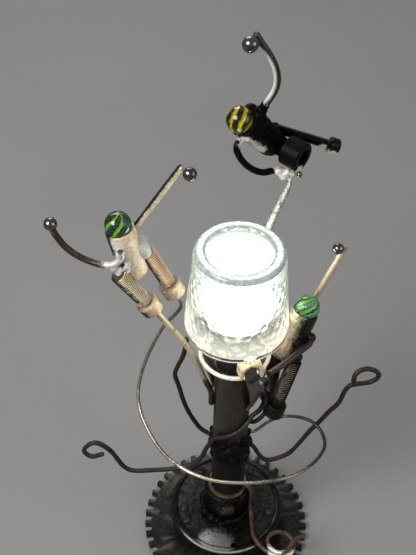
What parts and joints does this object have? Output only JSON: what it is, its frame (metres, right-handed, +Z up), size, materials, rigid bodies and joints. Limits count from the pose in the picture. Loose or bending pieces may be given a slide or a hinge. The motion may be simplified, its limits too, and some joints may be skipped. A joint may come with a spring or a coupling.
{
  "type": "moon lamp",
  "caption": "Handmade scrap-metal table lamp: sprocket base, steel post, upturned dimpled tumbler over a globe bulb, and one-eyed bolt-legged figures on bent wires.",
  "frame": {"origin": "centre of the sprocket's underside, on the table", "axes": "+Z up along the post, -Y towards the viewer of the picture, +X to the viewer's right"},
  "size_m": [0.2133, 0.137, 0.4199],
  "materials": {
    "oiled_iron": "dark, oily, worn bright on the tooth tips",
    "worn_drum_steel": "worn, turned steel with brown stains",
    "dark_weld": "burnt, lumpy weld scale",
    "grey_tube_steel": "dull drawn tube, stained",
    "warm_steel": "dull, heat-browned strip",
    "figure_steel": "satin, slightly rusty",
    "screw_steel": "satin threads",
    "ball_steel": "polished bearing balls, a little tarnished",
    "bright_wire": "bare bright wire",
    "rusty_wire": "brown, lightly rusted rod",
    "pale_enamel": "pale satin",
    "clear_glass": "clear, pressed with a honeycomb of shallow dimples",
    "lit_globe": "opal, lit",
    "green_marble": "polished, with yellow-green vanes inside",
    "aqua_marble": "polished, with pale green vanes inside",
    "yellow_marble": "polished, with dark vanes inside",
    "black_plastic": "matt thermoset",
    "white_plastic": "matt",
    "black_rubber": "matt",
    "brass_contact": "plain",
    "bulb_cap_metal": "plain"
  },
  "bodies": {
    "lamp_base": {"base_sprocket": "oiled_iron", "drum_housing": "worn_drum_steel", "drum_rivets": "oiled_iron", "post_boss": "dark_weld", "boss_weld": "dark_weld", "boss_collar": "worn_drum_steel", "post_tube": "grey_tube_steel", "post_weld": "dark_weld", "cable_grommet": "black_rubber", "terminal_block": "white_plastic", "terminal_screws": "brass_contact", "lamp_leads": "black_rubber", "post_cap": "grey_tube_steel", "cap_nut": "brass_contact", "threaded_nipple": "brass_contact", "lamp_cup": "pale_enamel", "holder_body": "black_plastic", "holder_sleeve": "brass_contact", "holder_contact": "brass_contact", "bracket_front": "warm_steel", "bracket_right": "warm_steel", "bracket_left": "warm_steel", "saddle_front": "warm_steel", "saddle_right": "warm_steel", "saddle_left": "warm_steel", "left_figure_body": "figure_steel", "left_figure_marble": "green_marble", "left_figure_raised_arm": "figure_steel", "left_figure_low_arm": "figure_steel", "left_figure_hands": "ball_steel", "left_figure_front_leg": "screw_steel", "left_figure_back_leg": "screw_steel", "left_figure_support": "figure_steel", "right_figure_body": "figure_steel", "right_figure_marble": "aqua_marble", "right_figure_raised_arm": "figure_steel", "right_figure_low_arm": "figure_steel", "right_figure_hands": "ball_steel", "right_figure_front_leg": "screw_steel", "right_figure_back_leg": "screw_steel", "right_figure_support": "figure_steel", "top_figure_body": "dark_weld", "top_figure_marble": "yellow_marble", "top_figure_raised_arm": "figure_steel", "top_figure_low_arm": "figure_steel", "top_figure_hands": "ball_steel", "top_figure_leg": "figure_steel", "top_figure_boot": "dark_weld", "top_figure_weld": "bright_wire", "top_figure_support": "bright_wire", "orbit_wire": "bright_wire", "wrapped_tendril": "rusty_wire", "right_tendril": "rusty_wire", "back_tendril": "rusty_wire", "front_tendril": "rusty_wire"},
    "shade": {"glass_shade": "clear_glass"},
    "bulb_carrier": {"bulb_tip": "bulb_cap_metal"},
    "bulb": {"bulb_cap": "bulb_cap_metal", "bulb_collar": "white_plastic", "bulb_globe": "lit_globe"}
  },
  "joints": [
    {"name": "shade_lift", "type": "slide", "parent": "lamp_base", "child": "shade", "axis": [0, 0, 1], "range_m": [0, 0.045]},
    {"name": "bulb_rise", "type": "slide", "parent": "lamp_base", "child": "bulb_carrier", "axis": [0, 0, 1], "range_m": [0, 0.0086]},
    {"name": "bulb_turn", "type": "hinge", "parent": "bulb_carrier", "child": "bulb", "pos_m": [0, 0, 0.213], "axis": [0, 0, 1], "range_deg": [0, 1080]}
  ],
  "couplings": [
    {"joint": "bulb_rise", "follows": "bulb_turn", "m_per_rad": 0.00044882}
  ]
}
